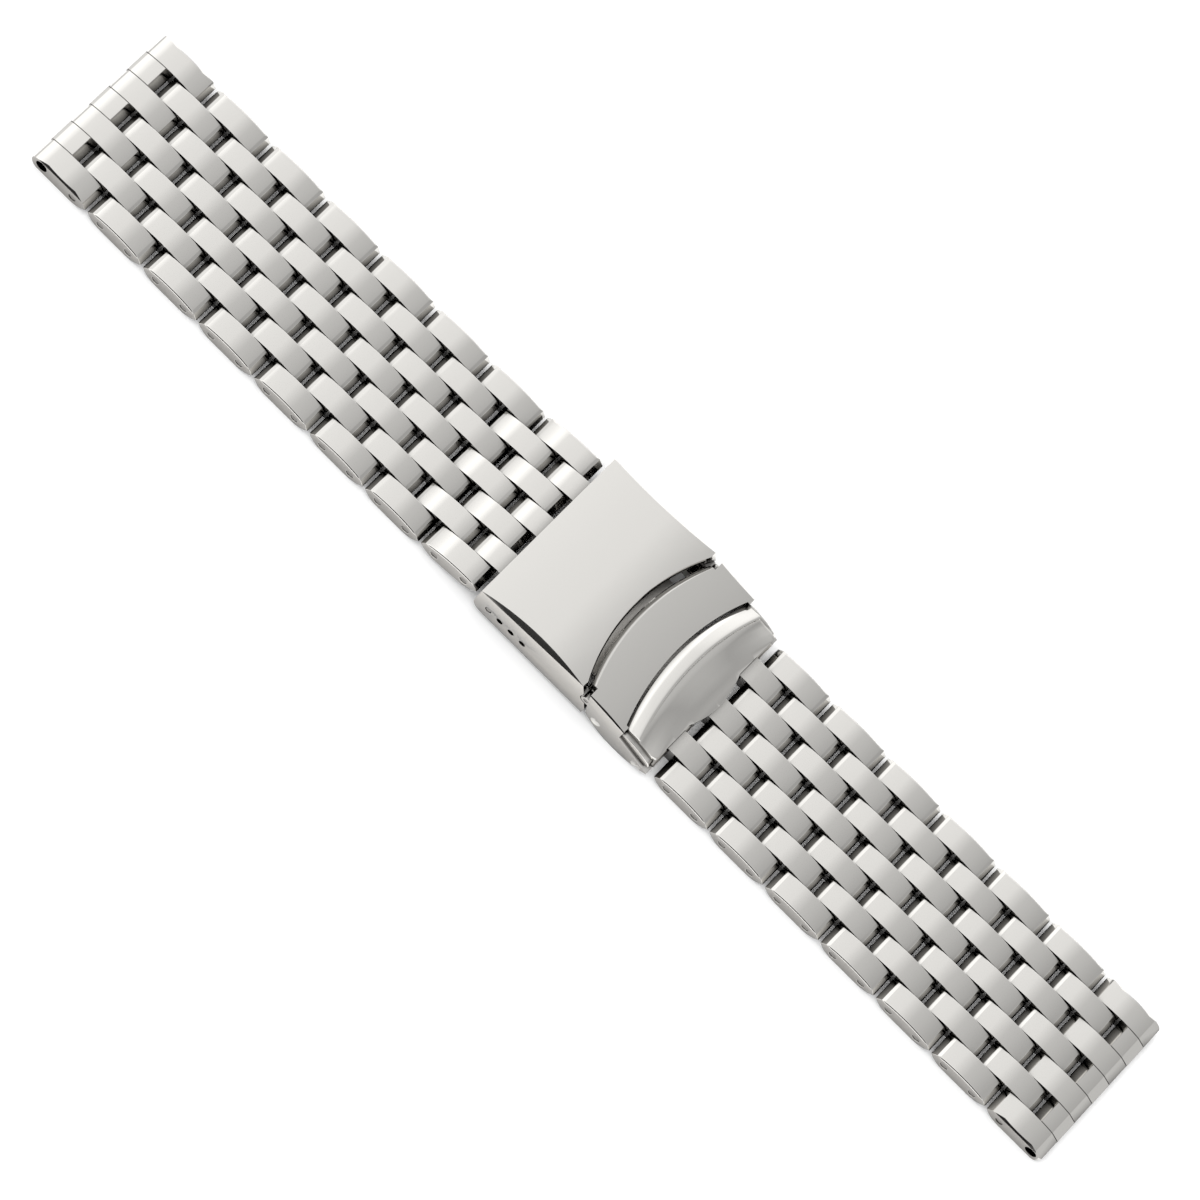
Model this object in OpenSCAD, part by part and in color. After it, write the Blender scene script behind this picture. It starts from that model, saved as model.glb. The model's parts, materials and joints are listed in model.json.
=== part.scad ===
// Link watch bracelet with a fold-over safety clasp, lying flat.
// Seven columns of links: the outer links (columns 1, 3, 5, 7) and the inner links
// (columns 2, 4, 6) are half a pitch apart, so each hinge pin joins one row of each.
// X runs along the band, Y across it, Z up. Millimetres.

/* [Band] */
// Distance from one link to the next in the same column
pitch = 9.7; // [8.5:0.1:11]
// Width of the band, which is the width between the watch lugs
band_w = 24; // [20:1:26]
// Height of a link
link_h = 3; // [2.8:0.1:3.4]
// Clear gap between two columns of links
column_gap = 0.1; // [0.06:0.02:0.2]
// Clear gap between the tips of two links in the same column
tip_gap = 0.35; // [0.3:0.05:0.6]
// Rows of outer links between the left end link and the clasp
left_rows = 7; // [4:1:8]
// Rows of outer links between the clasp and the right end link
right_rows = 6; // [4:1:8]

/* [Link shape] */
// Height of the hinge axis above the underside of a link
pin_z = 1.25; // [1.1:0.05:1.4]
// Height of the tip of a link's nose
tip_z = 1.5; // [1.3:0.05:1.7]
// Height of the crisp edge between a nose and the crowned top
edge_z = 2.3; // [2:0.05:2.4]
// How far the crisp edge lies inside the tip
nose_len = 0.62; // [0.4:0.02:0.8]
// Radius of the crowned top, seen from the side
crown_r = 15; // [13:1:40]
// Length of the flat underside
sole_len = 4; // [3:0.1:4.6]
// Width of the bevel along the outer top edges of the band
side_bevel = 0.35; // [0.2:0.05:0.5]

/* [Pins] */
// Diameter of a hinge pin of the band
pin_d = 1.1; // [0.9:0.05:1.2]
// Clearance round every pin, on the radius
pin_clear = 0.03; // [0.02:0.01:0.06]
// How far each pin end lies inside the band's side
pin_inset = 0.15; // [0.05:0.05:0.4]

/* [End links] */
// Distance from the straight end to the first hinge
end_reach = 7; // [6.6:0.1:8]
// Length of the short pieces between the long ones at the end
end_short = 4.4; // [3.6:0.1:4.4]
// Diameter of the hole for the watch's spring bar
lug_hole_d = 1.8; // [1.4:0.1:1.9]
// Distance from the straight end to the spring bar's axis
lug_inset = 1.6; // [1.4:0.1:2]
// Length of the slanting end face of the left end link
left_face = 0.4; // [0.3:0.05:1.3]
// Length of the slanting end face of the right end link
right_face = 1.3; // [0.3:0.05:1.3]
// Radius of the two corners of each end, seen from above
end_corner = 0.5; // [0.3:0.1:0.8]
// Depth and width of the groove between two pieces of an end link
groove = 0.12; // [0.08:0.02:0.2]

/* [Clasp cover] */
// Width of the clasp over its side walls
cover_w = 25.1; // [25.1:0.1:27]
// Height of the top of the arched cover above the table
cover_z = 8; // [7.6:0.1:8.6]
// Radius of the arch along the clasp
arch_r = 56; // [50:1:90]
// Distance from the cover's left end to the top of the arch
arch_x = 13; // [11:0.5:15]
// Thickness of the cover's top
top_t = 0.8; // [0.6:0.05:1]
// Thickness of the cover's side walls
wall_t = 1.25; // [1.25:0.05:1.4]
// Height of the lower edge of the side walls
wall_z = 1.1; // [0.9:0.05:1.2]
// Distance from the cover's left end to the end of its side walls
wall_len = 19.2; // [18.8:0.1:19.3]
// Distance from the cover's left end to the middle of its hollow right edge
cover_len = 14.7; // [14:0.1:15]
// Radius of the hollow right edge, seen from above
cover_edge_r = 27; // [24:1:32]
// Depth of the flat cut along each top edge of the cover, at its middle
bevel_depth = 0.68; // [0.4:0.02:0.8]
// Diameter of the adjusting holes
adjust_d = 1; // [0.8:0.05:1.1]
// Distance between adjusting holes
adjust_step = 1.95; // [1.6:0.05:2.2]
// Number of adjusting holes
adjust_count = 4; // [2:1:5]
// Distance from the cover's left end to the first adjusting hole
adjust_x = 2.2; // [2:0.1:2.8]

/* [Folding blades] */
// Thickness of a blade
blade_t = 0.9; // [0.7:0.05:1]
// Clear gap under the lower blade and between the blades
blade_gap = 0.2; // [0.15:0.05:0.3]
// Width of the lower blade
lower_blade_w = 12; // [10:0.5:14]
// Width of the upper blade
upper_blade_w = 16; // [15:0.5:18]
// Radius of the rolled knuckles
knuckle_r = 1; // [0.9:0.05:1.05]
// Diameter of the two blade hinge pins
blade_pin_d = 1; // [0.8:0.05:1.1]
// Distance from the cover's left end to the hinge between the blades
fold_x = 5; // [4.9:0.1:6]
// Distance from the cover's left end to the hinge of the upper blade
cover_hinge_x = 21.3; // [21:0.1:22]
// Distance from the cover's left end to the band's hinge on the lower blade
end_hinge_x = 28.6; // [28.4:0.1:29.4]
// Clear gap beside every knuckle
side_play = 0.15; // [0.1:0.05:0.25]
// Diameter of the catch stud's neck
stud_d = 2; // [1.5:0.1:2.2]
// Diameter of the catch stud's head
stud_head_d = 2.8; // [2.6:0.1:3.2]
// Height of the catch stud above the lower blade
stud_h = 3.2; // [3:0.1:3.6]
// Distance from the cover's left end to the catch stud
stud_x = 11.5; // [11:0.1:12.5]

/* [Safety latch] */
// How far the latch plate lies below the line of the cover
latch_step = 0.5; // [0.3:0.05:0.7]
// Thickness of the latch's side cheeks
cheek_t = 1; // [0.8:0.05:1]
// Distance from the cover's left end to the latch's pivot
latch_x = 18.6; // [18.4:0.1:18.8]
// Height of the latch's pivot
latch_z = 4.9; // [4.7:0.1:5.1]
// Diameter of the two rivets at the pivot
rivet_d = 0.7; // [0.6:0.05:0.8]
// Distance from the cover's left end to the middle of the plate's left edge
plate_x = 16.3; // [16:0.1:16.8]
// Radius of the plate's left edge, seen from above
plate_r = 28; // [26:1:32]
// Distance from the cover's left end to the middle of the plate's right edge
plate_end = 22.2; // [21.8:0.1:22.4]
// Radius of the plate's right edge, seen from above
plate_end_r = 33; // [30:1:38]
// Width of the bevel along the plate's left edge
plate_bevel = 0.8; // [0.4:0.1:1]
// Distance from the cover's left end to the right tip of the cheeks
cheek_end = 30.3; // [30:0.1:30.6]
// Radius of the boat-shaped underside of the cheeks
cheek_r = 9; // [8.5:0.1:10]
// Height of the crest of the thumb lip
crest_z = 7; // [6.8:0.1:7.2]
// Distance from the cover's left end to the middle of the crest
crest_x = 24.9; // [24.7:0.1:25.1]
// Radius of the crest, seen from above
crest_r = 36; // [33:1:42]
// Distance from the cover's left end to the rounded end of the thumb lip
lip_end = 30.9; // [30.6:0.1:31]
// Thickness of the thumb lip
lip_t = 0.7; // [0.5:0.05:0.8]

/* [Hidden] */
$fn = 96;
LEFT_OUTER = [for (i = [1:left_rows]) str("left_outer_links_", i)];
LEFT_PINS = [for (i = [1:left_rows]) str("left_pins_", i)];
LEFT_INNER = [for (i = [1:left_rows + 1]) str("left_inner_links_", i)];
RIGHT_OUTER = [for (i = [1:right_rows]) str("right_outer_links_", i)];
RIGHT_PINS = [for (i = [1:right_rows]) str("right_pins_", i)];
RIGHT_INNER = [for (i = [1:right_rows + 1]) str("right_inner_links_", i)];

// Cutters run past the surfaces they cut by this much
cut = 1;
columns = 7;
column_w = band_w / columns;
hinge_step = pitch / 2;
// Distance from a hinge to the tip of a nose
nose_reach = (hinge_step - tip_gap) / 2;
half_link = hinge_step / 2 + nose_reach;
pin_hole_d = pin_d + 2 * pin_clear;
end_len = end_reach + nose_reach;
end_middle = end_len - half_link;
face_slope = 33;

// The three links next to the clasp climb to the adjusting holes at these angles
climb = [9, 10, 6];
left_hinges = 2 * left_rows + 1;
right_hinges = 2 * right_rows + 1;
first_climber = left_hinges - len(climb) + 1;
function tilt(k) = k < first_climber ? 0 : climb[k - first_climber];
// Hinge k of the left half lies between link k and link k + 1, counted from the end link
function hinge_x(k) = k == 0 ? end_reach : hinge_x(k - 1) + hinge_step * cos(tilt(k));
function hinge_z(k) = k == 0 ? pin_z : hinge_z(k - 1) + hinge_step * sin(tilt(k));

spring_bar_z = hinge_z(left_hinges);
cover_x = hinge_x(left_hinges) - adjust_x;
total_len = cover_x + end_hinge_x + right_hinges * hinge_step + end_reach;
origin_x = total_len / 2;

half_cover = cover_w / 2;
cheek_in = half_cover - cheek_t;
arm_out = cheek_in - side_play;
arm_in = half_cover - wall_t - 1.1;
arm_x = 12;
arm_r = 1.05;
arm_low_h = 1.75;
post_r = 1.1;
eye_r = 0.75;
lower_z = blade_gap / 4;
upper_z = lower_z + blade_t + blade_gap;
fold_z = lower_z + knuckle_r;
cover_hinge_z = upper_z + knuckle_r;
upper_knuckle_w = 3;
blade_hole_d = blade_pin_d + 2 * pin_clear;
comb_bar = 1.4;
comb_h = 2;
clip_base = 0.8;
cheek_inset = 0.05;
bar_bore_d = adjust_d - 0.2;
bar_tube_w = 6 * column_w;
tip_len = 4;
corner_r = 1.5;
edge_round = 0.3;
wall_step = 5.6;
plate_z = cover_z - latch_step;
plate_low = plate_z - 1.2;
plate_bevel_h = 0.55;
plate_half = half_cover - wall_t - side_play;
cheek_x = wall_len - 0.66;
cheek_heel_x = wall_len + 0.7;
seam_x = wall_len - 2.2;
seam_z = 2.56;
rivet_hole_d = rivet_d + 2 * pin_clear;
latch_bevel = 0.15;
cheek_step = 24.7;
cheek_z = 4;
cheek_tip_z = 2;
cheek_mid_x = 25.2;
dimple_r = 1.2;
dimple_depth = 0.25;
lip_x = 22.7;
lip_low = 5.6;
lip_rise = 0.7;
lip_round = 0.6;
hollow_z = 5.6;
hollow_x = 26.8;
pad_z = 4.7;
lip_tip_z = 3.9;
lip_turn = 54;
lip_straight = 29.9;
lip_end_r = 12;
rim_t = 1;
rim_z = 5.2;
rim_low = 3.2;
side_arch_r = 61;

steel = [0.86, 0.85, 0.83];
shade = [0.7, 0.69, 0.67];

// A horizontal cylinder along the band's width
module across(d, w) {
    rotate([90, 0, 0]) cylinder(d = d, h = w, center = true);
}

// A side outline in X and Z, given the width w across the band
module slab(w) {
    rotate([90, 0, 0]) linear_extrude(height = w, center = true) children();
}

// Crown of a link whose middle is at X = 0
module crown(radius) {
    translate([0, link_h - crown_r]) circle(r = radius, $fn = 360);
}

// Side outline of a link below its crown: sharp-edged noses and a boat-shaped underside
module link_core() {
    rise = (link_h - tip_z) / (edge_z - tip_z);
    top_half = half_link - nose_len * rise;
    sole = sole_len / 2;
    reach = half_link - sole;
    heel_r = (reach * reach + tip_z * tip_z) / (2 * tip_z);
    intersection() {
        polygon([[-top_half, link_h], [top_half, link_h], [half_link, tip_z], [half_link, 0],
                 [-half_link, 0], [-half_link, tip_z]]);
        union() {
            translate([-sole, 0]) square([sole_len, link_h]);
            for (side = [-1, 1])
                translate([side * sole, heel_r]) circle(r = heel_r);
        }
    }
}

module link_outline() {
    intersection() {
        link_core();
        crown(crown_r);
    }
}

// Bevel along the outer top edge of the band, on both sides
module edge_bevels(length) {
    for (side = [-1, 1])
        translate([0, side * band_w / 2, link_h - side_bevel / 2])
            rotate([45, 0, 0])
                cube([length, side_bevel * sqrt(2), side_bevel * sqrt(2)], center = true);
}

function column_y(c) = (c - (columns - 1) / 2) * column_w;

// The outer row is columns 0, 2, 4, 6 and the inner row is columns 1, 3, 5
module row_links(first) {
    difference() {
        for (c = [first:2:columns - 1])
            translate([0, column_y(c), -pin_z]) slab(column_w - column_gap) link_outline();
        for (side = [-1, 1])
            translate([side * hinge_step / 2, 0, 0]) across(pin_hole_d, band_w + cut);
        translate([0, 0, -pin_z]) edge_bevels(2 * half_link);
    }
}

module row_pins() {
    for (side = [-1, 1])
        translate([side * hinge_step / 2, 0, 0]) across(pin_d, band_w - 2 * pin_inset);
}

// Places a link of the left half between its two hinges
module at_left_link(k) {
    translate([(hinge_x(k - 1) + hinge_x(k)) / 2 - origin_x, 0, (hinge_z(k - 1) + hinge_z(k)) / 2])
        rotate([0, -tilt(k), 0])
            children();
}

// Places a link of the right half, counted from the clasp
module at_right_link(k) {
    translate([cover_x + end_hinge_x + (k - 0.5) * hinge_step - origin_x, 0, pin_z]) children();
}

module at_clasp() {
    translate([cover_x - origin_x, 0, 0]) children();
}

module left_outer_links(i) {
    color(steel) at_left_link(2 * i) row_links(0);
}

module left_pins(i) {
    color(shade) at_left_link(2 * i) row_pins();
}

module left_inner_links(i) {
    color(steel) at_left_link(2 * i - 1) row_links(1);
}

module right_outer_links(i) {
    color(steel) at_right_link(2 * i) row_links(0);
}

module right_pins(i) {
    color(shade) at_right_link(2 * i) row_pins();
}

module right_inner_links(i) {
    color(steel) at_right_link(2 * i - 1) row_links(1);
}

// Space under the crown and behind the slanting end face, both moved in by inset
module end_top(face, inset) {
    rise = sqrt(pow(crown_r, 2) - pow(end_middle - face, 2));
    intersection() {
        translate([end_middle, 0]) crown(crown_r - inset);
        translate([face, link_h - crown_r + rise])
            rotate([0, 0, face_slope])
                translate([-end_len, -end_len - inset]) square([2 * end_len, end_len]);
    }
}

// Side outline of one piece of an end link: a slanting face at the lug end, a nose at the other
module end_outline(length, face) {
    intersection() {
        union() {
            translate([length - half_link, 0]) link_core();
            translate([lug_inset, link_h / 2]) circle(r = lug_inset);
        }
        end_top(face, 0);
        square([length, link_h]);
    }
}

// Groove along the join between two pieces of an end link
module end_groove(face) {
    slab(groove)
        difference() {
            translate([-cut, link_h / 2]) square([end_short + cut, link_h]);
            end_top(face, groove);
        }
}

// What is cut from the two corners of an end, seen from above
module end_corners() {
    half = (band_w - column_gap) / 2;
    for (side = [-1, 1])
        difference() {
            translate([0, side * half, link_h / 2])
                cube([2 * end_corner, 2 * end_corner, link_h + cut], center = true);
            translate([end_corner, side * (half - end_corner), -cut])
                cylinder(r = end_corner, h = link_h + 2 * cut);
        }
}

// End link, drawn with its straight end at X = 0 and the band towards +X
module end_link(face) {
    difference() {
        for (c = [0:columns - 1])
            translate([0, column_y(c), 0])
                slab(c % 2 == 0 ? column_w - column_gap : column_w + 2 * column_gap)
                    end_outline(c % 2 == 0 ? end_len : end_short, face);
        translate([lug_inset, 0, link_h / 2]) across(lug_hole_d, band_w + cut);
        translate([end_reach, 0, pin_z]) across(pin_hole_d, band_w + cut);
        for (c = [1:columns - 1])
            translate([0, column_y(c) - column_w / 2, 0]) end_groove(face);
        end_corners();
        translate([end_len / 2, 0, 0]) edge_bevels(2 * end_len);
    }
}

module end_pin() {
    translate([end_reach, 0, pin_z]) across(pin_d, band_w - 2 * pin_inset);
}

module at_left_end() {
    translate([-origin_x, 0, 0]) children();
}

module at_right_end() {
    mirror([1, 0, 0]) translate([-origin_x, 0, 0]) children();
}

module left_end_link() {
    color(steel) at_left_end() end_link(left_face);
}

module left_end_pin() {
    color(shade) at_left_end() end_pin();
}

module right_end_link() {
    color(steel) at_right_end() end_link(right_face);
}

module right_end_pin() {
    color(shade) at_right_end() end_pin();
}

// Everything under the arched line of the clasp, lowered by drop
module arch_outline(drop) {
    translate([arch_x, cover_z - drop - arch_r]) circle(r = arch_r, $fn = 720);
}

// Block with the arched top, whose two long edges are cut flat by the child
module clasp_block(x0, x1, drop) {
    difference() {
        slab(cover_w)
            intersection() {
                arch_outline(drop);
                translate([x0, 0]) square([x1 - x0, cover_z]);
            }
        for (side = [-1, 1])
            translate([0, side * half_cover, 0]) children();
    }
}

// Height of the arched line of the clasp at x
function arch_z(x) = cover_z - arch_r + sqrt(arch_r * arch_r - (x - arch_x) * (x - arch_x));

// Square bar on edge, laid along the line between two points of the wall's top edge
module edge_chord(x0, z0, x1, z1) {
    wide = 2;
    turn = atan2(z1 - z0, x1 - x0);
    translate([x0, 0, z0])
        rotate([0, -turn, 0])
            rotate([45, 0, 0])
                translate([-wide, 0, 0]) cube([x1 - x0 + 2 * wide, wide, wide]);
}

// The lens-shaped cut along the cover's top edge
module cover_chord() {
    lift = bevel_depth - (arch_z(seam_x / 2) - (arch_z(0) + arch_z(seam_x)) / 2);
    edge_chord(0, arch_z(0) - lift, seam_x, arch_z(seam_x) - lift);
}

module latch_chord() {
    drop = latch_step + latch_bevel;
    edge_chord(cheek_x, arch_z(cheek_x) - drop, cheek_step, arch_z(cheek_step) - drop);
}

// Upright cylinder whose left side is at X = x, for the curved edges seen from above.
// Above bevel_low its radius changes by grow to the height high.
module left_arc(x, r, bevel_low, high, grow) {
    translate([x + r, 0, -cut]) cylinder(r = r, h = bevel_low + cut, $fn = 360);
    translate([x + r, 0, bevel_low]) cylinder(r1 = r, r2 = r + grow, h = high - bevel_low, $fn = 360);
}

// Cover: an arched lid with side walls, adjusting holes and two arms for the hinge
module clasp_cover() {
    color(steel) at_clasp()
        difference() {
            union() {
                cover_shell();
                for (side = [-1, 1])
                    translate([0, side * (arm_out + arm_in) / 2, 0]) slab(arm_out - arm_in) arm_outline();
            }
            for (i = [0:adjust_count - 1])
                translate([adjust_x + i * adjust_step, 0, spring_bar_z])
                    across(adjust_d, cover_w + cut);
            translate([cover_hinge_x, 0, cover_hinge_z]) across(blade_pin_d, cover_w + cut);
            translate([latch_x, 0, latch_z]) across(rivet_d, cover_w + cut);
        }
}

module cover_shell() {
    difference() {
        clasp_block(0, wall_len, 0) cover_chord();
        slab(cover_w + cut) wall_underside();
        slab(cover_w - 2 * wall_t)
            intersection() {
                arch_outline(top_t);
                translate([-cut, -cut]) square([wall_len + 2 * cut, cover_z + cut]);
            }
        intersection() {
            left_arc(cover_len, cover_edge_r, cover_z - top_t, cover_z + cut, edge_round * 2);
            translate([0, -cover_w, wall_step]) cube([wall_len + cut, 2 * cover_w, cover_z]);
        }
        slab(cover_w + cut) {
            polygon([[seam_x, cover_z + side_play], [seam_x, cover_z + cut], [wall_len + cut, cover_z + cut],
                     [wall_len + cut, seam_z], [wall_len, seam_z]]);
            translate([latch_x, latch_z]) circle(r = eye_r + side_play);
        }
    }
}

// What is cut away below the side walls, with a rounded lower left corner
module wall_underside() {
    translate([-cut, -cut]) square([wall_len + 2 * cut, wall_z + cut]);
    difference() {
        translate([-cut, 0]) square([corner_r + cut, wall_z + corner_r]);
        translate([corner_r, wall_z + corner_r]) circle(r = corner_r);
    }
}

// Side outline of an arm: a low bar, an eye for the blade's hinge and a post for the latch
module arm_outline() {
    translate([arm_x, cover_hinge_z - arm_r]) square([cover_hinge_x - arm_x, arm_low_h]);
    translate([cover_hinge_x, cover_hinge_z]) circle(r = arm_r);
    translate([latch_x - post_r, cover_hinge_z]) square([2 * post_r, latch_z - cover_hinge_z]);
    translate([latch_x, latch_z]) circle(r = post_r);
}

// Spring clip under the lid, whose two legs grip the catch stud
module catch_clip() {
    leg_t = 0.6;
    leg_w = 3;
    leg_in = stud_head_d / 2 + side_play;
    ceiling = cover_z - top_t;
    color(shade) at_clasp() {
        intersection() {
            union() {
                translate([stud_x - leg_w / 2, -leg_in - leg_t, ceiling - clip_base])
                    cube([leg_w, 2 * (leg_in + leg_t), clip_base]);
                for (side = [-1, 1])
                    translate([stud_x - leg_w / 2, side * (leg_in + leg_t / 2) - leg_t / 2, upper_z + blade_t])
                        cube([leg_w, leg_t, ceiling - upper_z - blade_t]);
            }
            slab(cover_w) arch_outline(top_t);
        }
    }
}

// Pin that holds the upper blade between the cover's arms
module cover_hinge_pin() {
    color(shade) at_clasp()
        translate([cover_hinge_x, 0, cover_hinge_z]) across(blade_pin_d, 2 * arm_out);
}

// Two short rivets in the cover's arms that the latch's cheeks turn on
module latch_rivets() {
    rivet_len = half_cover - cheek_inset - arm_in;
    color(shade) at_clasp()
        for (side = [-1, 1])
            translate([latch_x, side * (arm_in + rivet_len / 2), latch_z]) across(rivet_d, rivet_len);
}

// Spring bar that carries the band in an adjusting hole: a tube, two tips and a spring
module spring_bar_tube() {
    color(shade) at_clasp() translate([adjust_x, 0, spring_bar_z])
        difference() {
            across(pin_d, bar_tube_w);
            across(bar_bore_d, bar_tube_w + cut);
        }
}

module spring_bar_tips() {
    color(shade) at_clasp() translate([adjust_x, 0, spring_bar_z])
        for (side = [-1, 1])
            translate([0, side * (half_cover - cheek_inset - tip_len / 2), 0])
                across(bar_bore_d - 2 * pin_clear, tip_len);
}

module spring_bar_spring() {
    spring_w = cover_w - 2 * cheek_inset - 2 * tip_len;
    color(shade) at_clasp() translate([adjust_x, 0, spring_bar_z])
        across(bar_bore_d - 4 * pin_clear, spring_w);
}

// Knuckle round a hinge at x and z, from y0 to y1, without its hole
module knuckle(x, z, y0, y1) {
    translate([x, (y0 + y1) / 2, z]) across(2 * knuckle_r, y1 - y0);
}

// Upper blade, from the hinge under the cover's left end to the hinge on its arms
module upper_blade() {
    half = upper_blade_w / 2;
    centre = upper_knuckle_w;
    window_r = stud_head_d / 2 + 3 * side_play + 1;
    color(steel) at_clasp()
        difference() {
            union() {
                translate([fold_x, -half, upper_z]) cube([cover_hinge_x - fold_x, upper_blade_w, blade_t]);
                knuckle(cover_hinge_x, cover_hinge_z, side_play - arm_in, arm_in - side_play);
                knuckle(fold_x, fold_z, centre + side_play, lower_blade_w / 2);
                knuckle(fold_x, fold_z, -lower_blade_w / 2, -centre - side_play);
            }
            // Room for the lower blade's knuckle
            translate([fold_x - knuckle_r - cut, -centre - side_play, -cut])
                cube([2 * knuckle_r + cut + side_play, 2 * (centre + side_play), cover_z]);
            translate([fold_x, 0, fold_z]) across(blade_hole_d, cover_w);
            translate([cover_hinge_x, 0, cover_hinge_z]) across(blade_hole_d, cover_w);
            // Window round the catch stud and clip
            translate([stud_x, 0, 0]) cylinder(r = window_r, h = cover_z);
        }
}

module blade_hinge_pin() {
    color(shade) at_clasp() translate([fold_x, 0, fold_z]) across(blade_pin_d, lower_blade_w);
}

// Lower blade, with the comb that carries the right half of the band
module lower_blade() {
    half = lower_blade_w / 2;
    comb_x = end_hinge_x - nose_reach - tip_gap - comb_bar;
    color(steel) at_clasp()
        difference() {
            union() {
                translate([fold_x, -half, lower_z]) cube([comb_x - fold_x + comb_bar, lower_blade_w, blade_t]);
                knuckle(fold_x, fold_z, -upper_knuckle_w, upper_knuckle_w);
                comb(comb_x);
            }
            // Room for the upper blade's knuckles
            for (side = [-1, 1])
                translate([fold_x - knuckle_r - cut, side > 0 ? upper_knuckle_w : -half - cut, -cut])
                    cube([2 * knuckle_r + cut + side_play, half + cut - upper_knuckle_w, cover_z]);
            translate([fold_x, 0, fold_z]) across(blade_hole_d, cover_w);
            translate([end_hinge_x, 0, pin_z]) across(pin_hole_d, band_w + cut);
        }
}

// Four fingers shaped like half an outer link, on a bar across the band
module comb(comb_x) {
    half = cheek_in - side_play;
    intersection() {
        union() {
            for (c = [0:2:columns - 1])
                translate([end_hinge_x + nose_reach - half_link, column_y(c), 0])
                    slab(column_w - column_gap)
                        intersection() {
                            link_outline();
                            translate([half_link - nose_reach - nose_reach - comb_bar / 2, 0])
                                square([half_link, link_h]);
                        }
            translate([comb_x, -half, lower_z]) cube([comb_bar, 2 * half, comb_h]);
        }
        translate([0, -half, 0]) cube([cheek_end + nose_reach, 2 * half, cover_z]);
    }
}

module catch_stud() {
    head_h = 0.8;
    color(shade) at_clasp() translate([stud_x, 0, lower_z + blade_t]) {
        cylinder(d = stud_d, h = stud_h);
        translate([0, 0, stud_h - head_h]) cylinder(d = stud_head_d, h = head_h);
    }
}

module end_hinge_pin() {
    color(shade) at_clasp()
        translate([end_hinge_x, 0, pin_z]) across(pin_d, 2 * (cheek_in - side_play) - 2 * pin_inset);
}

// Safety latch: a plate over the cover's end with two cheeks
module safety_latch() {
    color(steel) at_clasp()
        difference() {
            union() {
                latch_plate();
                latch_cheeks();
            }
            translate([latch_x, 0, latch_z]) across(rivet_hole_d, cover_w + cut);
            for (side = [-1, 1])
                for (spot = [[cover_hinge_x, cover_hinge_z], [end_hinge_x, pin_z]])
                    translate([spot[0], side * (half_cover + dimple_r - dimple_depth), spot[1]])
                        sphere(r = dimple_r);
        }
}

// The arched plate between its two curved edges
module latch_plate() {
    difference() {
        intersection() {
            clasp_block(plate_x - cut, cheek_step, latch_step) latch_chord();
            left_arc(plate_x - plate_bevel, plate_r + plate_bevel, plate_z - plate_bevel_h, plate_z, -plate_bevel);
        }
        slab(2 * cheek_in) arch_outline(latch_step + top_t);
        // The plate is narrower than the walls where it dips between them
        for (side = [-1, 1])
            translate([0, side * (plate_half + half_cover), 0])
                slab(cover_w)
                    polygon([[0, 0], [0, cover_z + cut], [cheek_x, cover_z + cut], [cheek_x, plate_z],
                             [cheek_heel_x, 0]]);
        translate([-cut, -cover_w, -cut]) cube([cheek_step + cut, 2 * cover_w, plate_low]);
        translate([plate_end + plate_end_r, 0, -cut])
            cylinder(r = plate_end_r, h = cover_z + 2 * cut, $fn = 360);
    }
}

// The two cheeks, tall beside the plate and low beside the thumb lip
module latch_cheeks() {
    intersection() {
        clasp_block(latch_x - eye_r, cheek_end, latch_step) latch_chord();
        slab(cover_w) {
            intersection() {
                translate([cheek_mid_x, cheek_r]) circle(r = cheek_r, $fn = 360);
                polygon([[cheek_heel_x, 0], [cheek_end, 0], [cheek_end, cheek_tip_z], [cheek_step, cheek_z],
                         [cheek_step, cover_z], [cheek_x, cover_z], [cheek_x, plate_z]]);
            }
            translate([latch_x, latch_z]) circle(r = eye_r);
            translate([latch_x, latch_z - eye_r]) square([eye_r, 2 * eye_r]);
        }
        for (side = [-1, 1])
            translate([0, side * (half_cover - cheek_t / 2) - cheek_t / 2, 0])
                cube([cheek_end + cut, cheek_t, cover_z]);
    }
}

// Thumb lip: a raised crest that follows an arc, with a hollow and two rims behind it
module thumb_lip() {
    color(steel) at_clasp()
        intersection() {
            union() {
                lip_sheet();
                for (side = [-1, 1])
                    translate([0, side * (cheek_in - rim_t / 2), 0]) slab(rim_t) rim_outline();
            }
            translate([0, -cheek_in, 0]) cube([lip_end + cut, 2 * cheek_in, cover_z]);
            rotate([0, 90, 0])
                translate([side_arch_r - crest_z, 0, 0]) cylinder(r = side_arch_r, h = lip_end + cut, $fn = 720);
        }
}

// The sheet of the lip, turned about an upright axis on the right
module lip_sheet() {
    axis_x = crest_x + crest_r;
    intersection() {
        translate([axis_x, 0, 0])
            rotate([0, 0, 180 - lip_turn / 2])
                rotate_extrude(angle = lip_turn, $fn = 360)
                    mirror([1, 0]) translate([-axis_x, 0]) lip_outline();
        lip_end_block();
    }
}

// Side outline of the lip along its middle
module lip_outline() {
    polygon([[lip_x, lip_low], [lip_x, lip_low + lip_t], [lip_x + lip_rise, crest_z - lip_round / 2],
             [crest_x - lip_round, crest_z], [crest_x, crest_z - lip_round / 2],
             [crest_x + lip_round / 2, hollow_z], [hollow_x, pad_z], [lip_end + cut * 2, lip_tip_z],
             [lip_end + cut * 2, lip_tip_z - lip_t], [hollow_x - lip_t / 2, pad_z - lip_t],
             [crest_x - lip_t, lip_low]]);
}

// Straight end near the rims and a rounded end in the middle
module lip_end_block() {
    translate([0, -half_cover, 0]) cube([lip_straight, cover_w, cover_z]);
    translate([lip_end - lip_end_r, 0, 0]) cylinder(r = lip_end_r, h = cover_z, $fn = 180);
}

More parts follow.
